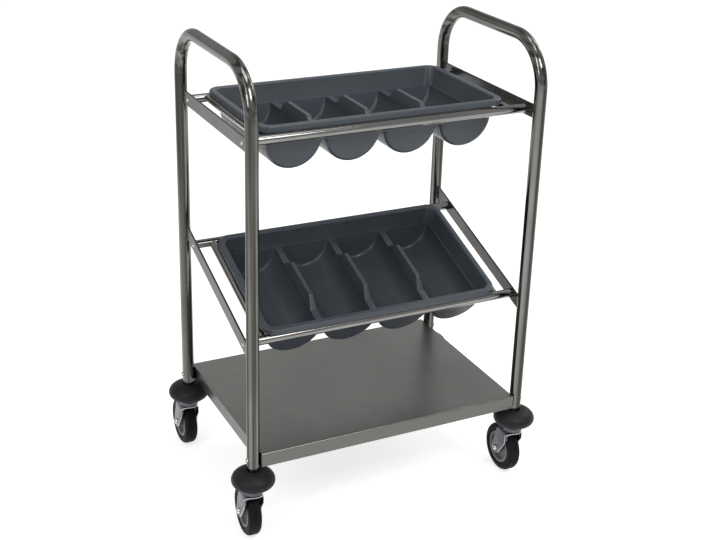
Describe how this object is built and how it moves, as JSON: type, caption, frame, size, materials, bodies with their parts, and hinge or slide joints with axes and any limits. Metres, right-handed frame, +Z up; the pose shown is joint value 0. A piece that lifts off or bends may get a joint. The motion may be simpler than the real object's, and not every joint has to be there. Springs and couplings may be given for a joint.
{
  "type": "cutlery cart",
  "caption": "Steel cart with looped tube ends, racks for lift-out cutlery trays with round troughs, the lower one sloping, a flat bottom shelf, swivel casters and round corner bumpers.",
  "frame": {"origin": "on the floor under the middle of the whole cart's box", "axes": "+X to the right end, +Y to the back, where the lower rack is higher, +Z up"},
  "size_m": [0.687, 0.5076, 0.9685],
  "materials": {
    "frame_steel": "satin polished",
    "bar_steel": "satin polished",
    "rail_steel": "bright polished",
    "shelf_steel": "fine brushed",
    "screw_steel": "bright",
    "caster_steel": "zinc plated",
    "ball_steel": "polished",
    "tray_plastic": "satin moulded",
    "insert_plastic": "moulded",
    "wheel_plastic": "moulded",
    "bumper_rubber": "matte",
    "tyre_rubber": "matte"
  },
  "bodies": {
    "frame": {"left_end_tube": "frame_steel", "right_end_tube": "frame_steel", "upper_left_side_bar": "bar_steel", "upper_left_rod": "rail_steel", "upper_right_side_bar": "bar_steel", "upper_right_rod": "rail_steel", "upper_front_rail": "rail_steel", "upper_back_rail": "rail_steel", "lower_left_side_bar": "bar_steel", "lower_left_rod": "rail_steel", "lower_right_side_bar": "bar_steel", "lower_right_rod": "rail_steel", "lower_front_rail": "rail_steel", "lower_back_rail": "rail_steel", "rail_end_plugs": "screw_steel", "rail_screws": "screw_steel", "bottom_shelf": "shelf_steel", "shelf_bolts": "screw_steel", "shelf_nuts": "screw_steel", "caster_stems": "caster_steel", "leg_inserts": "insert_plastic", "swivel_balls": "ball_steel", "front_left_bumper": "bumper_rubber", "front_left_bearing_cup": "caster_steel", "back_left_bumper": "bumper_rubber", "back_left_bearing_cup": "caster_steel", "front_right_bumper": "bumper_rubber", "front_right_bearing_cup": "caster_steel", "back_right_bumper": "bumper_rubber", "back_right_bearing_cup": "caster_steel"},
    "upper_tray": {"upper_cutlery_tray": "tray_plastic"},
    "lower_tray": {"lower_cutlery_tray": "tray_plastic"},
    "front_left_swivel": {"front_left_fork": "caster_steel", "front_left_axle_bolt": "caster_steel", "front_left_axle_nut": "caster_steel", "front_left_wheel_bush": "caster_steel"},
    "front_left_wheel": {"front_left_wheel_centre": "wheel_plastic", "front_left_tyre": "tyre_rubber"},
    "back_left_swivel": {"back_left_fork": "caster_steel", "back_left_axle_bolt": "caster_steel", "back_left_axle_nut": "caster_steel", "back_left_wheel_bush": "caster_steel"},
    "back_left_wheel": {"back_left_wheel_centre": "wheel_plastic", "back_left_tyre": "tyre_rubber"},
    "front_right_swivel": {"front_right_fork": "caster_steel", "front_right_axle_bolt": "caster_steel", "front_right_axle_nut": "caster_steel", "front_right_wheel_bush": "caster_steel"},
    "front_right_wheel": {"front_right_wheel_centre": "wheel_plastic", "front_right_tyre": "tyre_rubber"},
    "back_right_swivel": {"back_right_fork": "caster_steel", "back_right_axle_bolt": "caster_steel", "back_right_axle_nut": "caster_steel", "back_right_wheel_bush": "caster_steel"},
    "back_right_wheel": {"back_right_wheel_centre": "wheel_plastic", "back_right_tyre": "tyre_rubber"}
  },
  "joints": [
    {"name": "upper_tray_lift", "type": "slide", "parent": "frame", "child": "upper_tray", "axis": [0, 0, 1], "range_m": [0, 0.24]},
    {"name": "lower_tray_lift", "type": "slide", "parent": "frame", "child": "lower_tray", "axis": [0, -0.3338, 0.9426], "range_m": [0, 0.12]},
    {"name": "front_left_swivel_turn", "type": "hinge", "parent": "frame", "child": "front_left_swivel", "pos_m": [-0.3, -0.21033, 0.112], "axis": [0, 0, 1], "continuous": true},
    {"name": "front_left_wheel_spin", "type": "hinge", "parent": "front_left_swivel", "child": "front_left_wheel", "pos_m": [-0.29833, -0.17837, 0.052], "axis": [-0.9986, 0.0523, 0], "continuous": true},
    {"name": "back_left_swivel_turn", "type": "hinge", "parent": "frame", "child": "back_left_swivel", "pos_m": [-0.3, 0.16967, 0.112], "axis": [0, 0, 1], "continuous": true},
    {"name": "back_left_wheel_spin", "type": "hinge", "parent": "back_left_swivel", "child": "back_left_wheel", "pos_m": [-0.3, 0.20167, 0.052], "axis": [-1, 0, 0], "continuous": true},
    {"name": "front_right_swivel_turn", "type": "hinge", "parent": "frame", "child": "front_right_swivel", "pos_m": [0.3, -0.21033, 0.112], "axis": [0, 0, 1], "continuous": true},
    {"name": "front_right_wheel_spin", "type": "hinge", "parent": "front_right_swivel", "child": "front_right_wheel", "pos_m": [0.30028, -0.17833, 0.052], "axis": [-1, 0.0087, 0], "continuous": true},
    {"name": "back_right_swivel_turn", "type": "hinge", "parent": "frame", "child": "back_right_swivel", "pos_m": [0.3, 0.16967, 0.112], "axis": [0, 0, 1], "continuous": true},
    {"name": "back_right_wheel_spin", "type": "hinge", "parent": "back_right_swivel", "child": "back_right_wheel", "pos_m": [0.30112, 0.20165, 0.052], "axis": [-0.9994, 0.0349, 0], "continuous": true}
  ]
}
